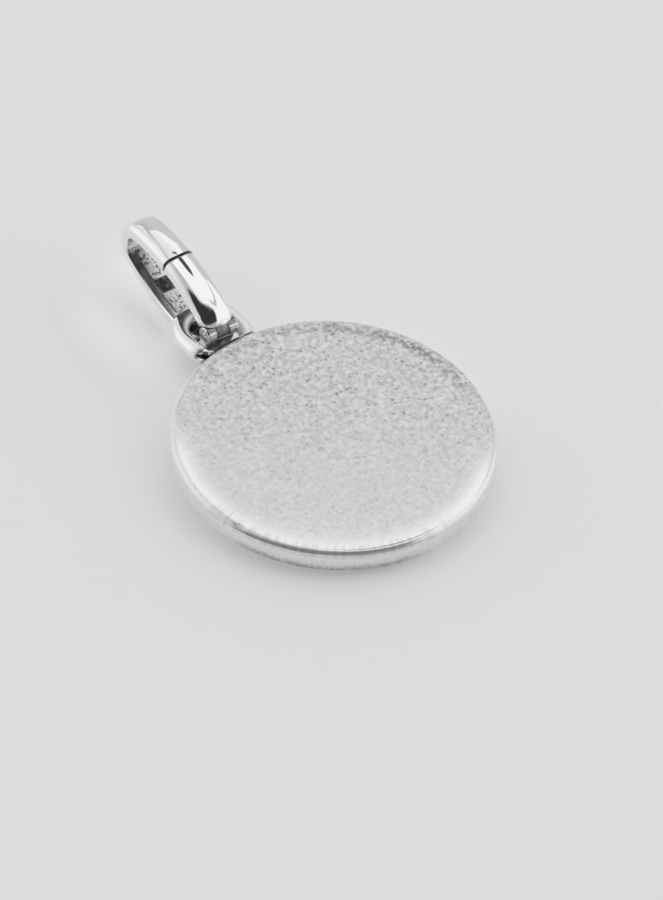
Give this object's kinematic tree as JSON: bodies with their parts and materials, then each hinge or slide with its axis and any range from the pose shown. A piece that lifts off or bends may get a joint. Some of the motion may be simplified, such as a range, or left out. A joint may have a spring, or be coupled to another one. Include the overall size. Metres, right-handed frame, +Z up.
{
  "type": "religious medal pendant",
  "caption": "Plain round silver medal with a frosted face and rolled edge, soldered to a wire loop that hangs on a long oval bail with a hinged gate, lying on a table.",
  "frame": {"origin": "on the floor, under the middle of the whole pendant as it lies", "axes": "+Z up from the floor; +Y from the medal towards the bail; +X to the right of that"},
  "size_m": [0.02, 0.0308, 0.0053],
  "materials": {
    "frosted_silver": "sand-blasted silver face with a burnished rolled edge",
    "polished_silver": "polished silver with fine wear"
  },
  "bodies": {
    "pendant": {"medal": "frosted_silver", "bail_hook": "polished_silver", "hinge_pin": "polished_silver"},
    "gate": {"bail_gate": "polished_silver"}
  },
  "joints": [
    {"name": "gate_hinge", "type": "hinge", "parent": "pendant", "child": "gate", "pos_m": [-0.00002, 0.00577, 0.00231], "axis": [0.9976, -0.0698, 0], "range_deg": [0, 60]}
  ]
}
